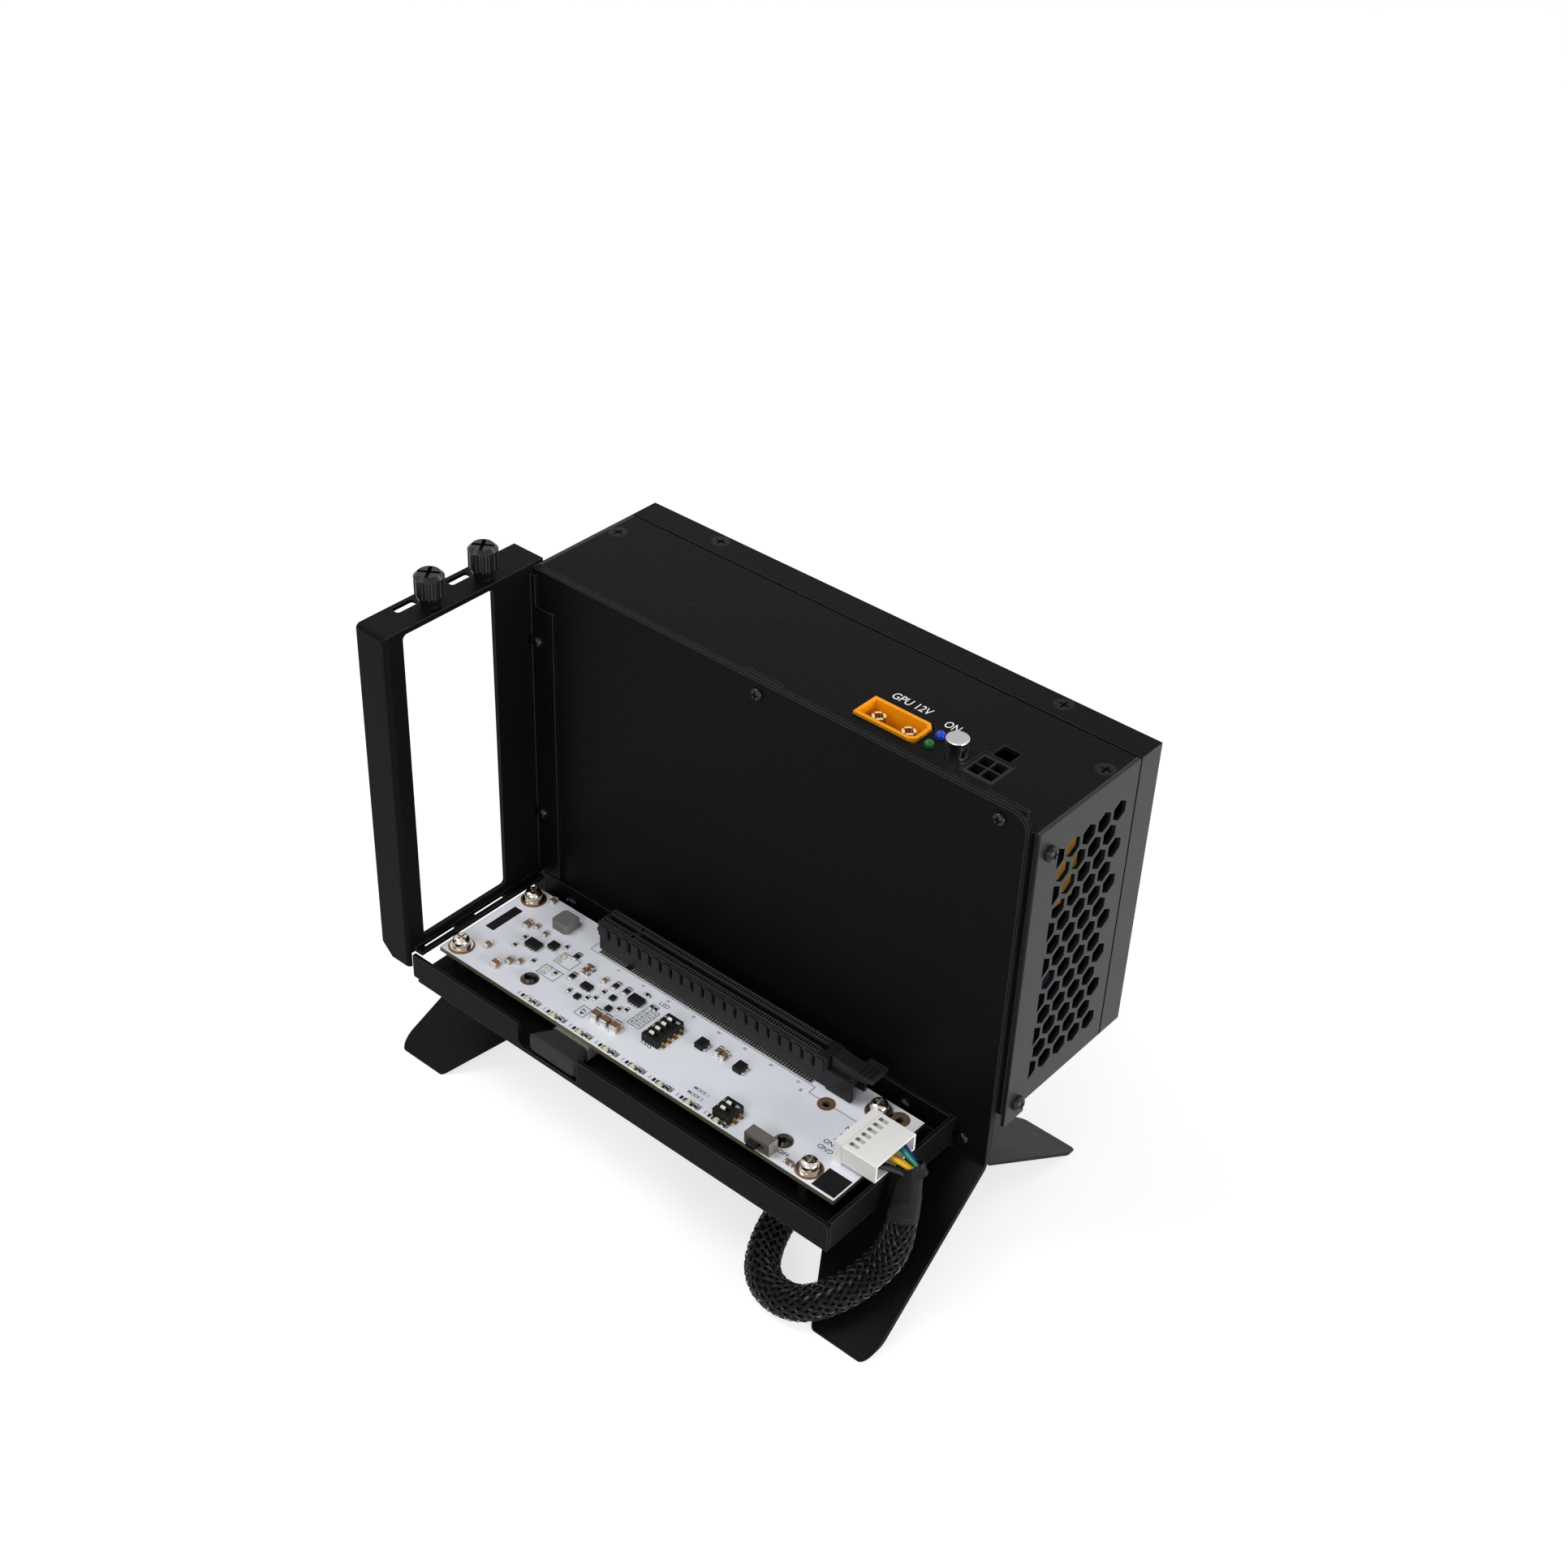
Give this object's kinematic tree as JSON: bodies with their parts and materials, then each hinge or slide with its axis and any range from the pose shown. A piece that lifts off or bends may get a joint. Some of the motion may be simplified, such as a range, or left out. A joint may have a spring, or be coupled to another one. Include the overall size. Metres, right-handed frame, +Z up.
{
  "type": "external graphics card dock",
  "caption": "Open folded-steel dock for a graphics card: card bracket frame, tray with slot board, lead and a closed power box behind, standing on splayed legs.",
  "frame": {"origin": "on the floor, under the middle of the dock's outer box without its lead", "axes": "+X along the card slot away from the bracket, +Y back to the power box, +Z up"},
  "size_m": [0.1908, 0.1202, 0.1651],
  "materials": {
    "powder_black": "fine satin powder coat",
    "screw_black": "satin black",
    "nickel": "bright plated",
    "board_white": "satin white board",
    "board_green": "satin green board",
    "slot_black": "satin moulded",
    "switch_black": "matt moulded",
    "slider_white": "matt moulded",
    "contact_gold": "bright plated",
    "nylon_white": "satin nylon",
    "wire_yellow": "smooth wire cover",
    "shrink_black": "matt shrink tube",
    "sleeve_black": "braided sleeve",
    "rubber_black": "matt rubber",
    "rubber_grey": "matt rubber",
    "ferrite_grey": "matt grey",
    "chip_black": "matt moulded",
    "capacitor_tan": "smooth tan",
    "led_clear": "clear",
    "can_steel": "plated can",
    "socket_orange": "smooth orange",
    "button_chrome": "bright side, matt top",
    "light_green": "clear green",
    "light_blue": "clear blue",
    "winding_yellow": "taped winding",
    "winding_copper": "enamelled wire",
    "can_black": "sleeved can",
    "sink_aluminium": "plain",
    "blade_brass": "plated"
  },
  "bodies": {
    "dock": {"ac_inlet": "slot_black", "blue_led": "light_blue", "board_capacitors": "capacitor_tan", "board_chips": "chip_black", "board_leds": "led_clear", "board_posts": "nickel", "board_resistors": "chip_black", "board_rivets": "rubber_black", "board_screws": "nickel", "board_tray": "powder_black", "bracket_frame": "powder_black", "button_body": "switch_black", "cable_grommet": "rubber_black", "card_slot": "slot_black", "choke": "winding_copper", "data_port": "can_steel", "dc_output_socket": "socket_orange", "dust_plug": "rubber_grey", "fan_frame": "slot_black", "four_pin_socket": "slot_black", "front_plate": "powder_black", "green_led": "light_green", "heat_shrink": "shrink_black", "heat_sink": "sink_aluminium", "inductor": "ferrite_grey", "inlet_blades": "blade_brass", "light_switch_body": "switch_black", "main_board": "board_white", "mode_switch_body": "switch_black", "plate_screws": "screw_black", "plug_wires": "wire_yellow", "power_cable": "sleeve_black", "power_header": "nylon_white", "power_plug": "nylon_white", "psu_back_cover": "powder_black", "psu_body": "powder_black", "psu_capacitors": "can_black", "psu_circuit_board": "board_green", "psu_inlet_end": "powder_black", "psu_posts": "nickel", "psu_screws": "screw_black", "psu_vent_end": "powder_black", "rear_plate": "powder_black", "slide_switch_can": "can_steel", "slot_contacts": "contact_gold", "socket_pins": "contact_gold", "switch_legs": "contact_gold", "transformer": "winding_yellow"},
    "thumbscrew_1_body": {"thumbscrew_1": "screw_black"},
    "thumbscrew_2_body": {"thumbscrew_2": "screw_black"},
    "slot_latch_body": {"slot_latch": "slot_black"},
    "slide_switch_knob_body": {"slide_switch_knob": "switch_black"},
    "power_button_body": {"power_button": "button_chrome"},
    "fan_rotor_body": {"fan_rotor": "slot_black"},
    "mode_switch_slider_1_body": {"mode_switch_slider_1": "slider_white"},
    "mode_switch_slider_2_body": {"mode_switch_slider_2": "slider_white"},
    "mode_switch_slider_3_body": {"mode_switch_slider_3": "slider_white"},
    "mode_switch_slider_4_body": {"mode_switch_slider_4": "slider_white"},
    "light_switch_slider_1_body": {"light_switch_slider_1": "slider_white"},
    "light_switch_slider_2_body": {"light_switch_slider_2": "slider_white"}
  },
  "joints": [
    {"name": "thumbscrew_1_turn", "type": "hinge", "parent": "dock", "child": "thumbscrew_1_body", "pos_m": [-0.0881, -0.0364, 0.1546], "axis": [0, 0, 1], "continuous": true},
    {"name": "thumbscrew_2_turn", "type": "hinge", "parent": "dock", "child": "thumbscrew_2_body", "pos_m": [-0.0881, -0.01608, 0.1546], "axis": [0, 0, 1], "continuous": true},
    {"name": "latch_tilt", "type": "hinge", "parent": "dock", "child": "slot_latch_body", "pos_m": [0.0495, -0.0129, 0.0457], "axis": [0, 1, 0], "range_deg": [0, 12]},
    {"name": "slide_switch_throw", "type": "slide", "parent": "dock", "child": "slide_switch_knob_body", "axis": [1, 0, 0], "range_m": [0, 0.002]},
    {"name": "mode_switch_throw_1", "type": "slide", "parent": "dock", "child": "mode_switch_slider_1_body", "axis": [1, 0, 0], "range_m": [0, 0.0016]},
    {"name": "mode_switch_throw_2", "type": "slide", "parent": "dock", "child": "mode_switch_slider_2_body", "axis": [1, 0, 0], "range_m": [0, 0.0016]},
    {"name": "mode_switch_throw_3", "type": "slide", "parent": "dock", "child": "mode_switch_slider_3_body", "axis": [1, 0, 0], "range_m": [0, 0.0016]},
    {"name": "mode_switch_throw_4", "type": "slide", "parent": "dock", "child": "mode_switch_slider_4_body", "axis": [1, 0, 0], "range_m": [0, 0.0016]},
    {"name": "light_switch_throw_1", "type": "slide", "parent": "dock", "child": "light_switch_slider_1_body", "axis": [1, 0, 0], "range_m": [0, 0.0016]},
    {"name": "light_switch_throw_2", "type": "slide", "parent": "dock", "child": "light_switch_slider_2_body", "axis": [1, 0, 0], "range_m": [0, 0.0016]},
    {"name": "button_press", "type": "slide", "parent": "dock", "child": "power_button_body", "axis": [0, 0, -1], "range_m": [0, 0.0015], "stiffness_N_per_m": 400, "springref_m": -0.001},
    {"name": "fan_spin", "type": "hinge", "parent": "dock", "child": "fan_rotor_body", "pos_m": [-0.0814, 0.0256, 0.1117], "axis": [1, 0, 0], "continuous": true}
  ]
}
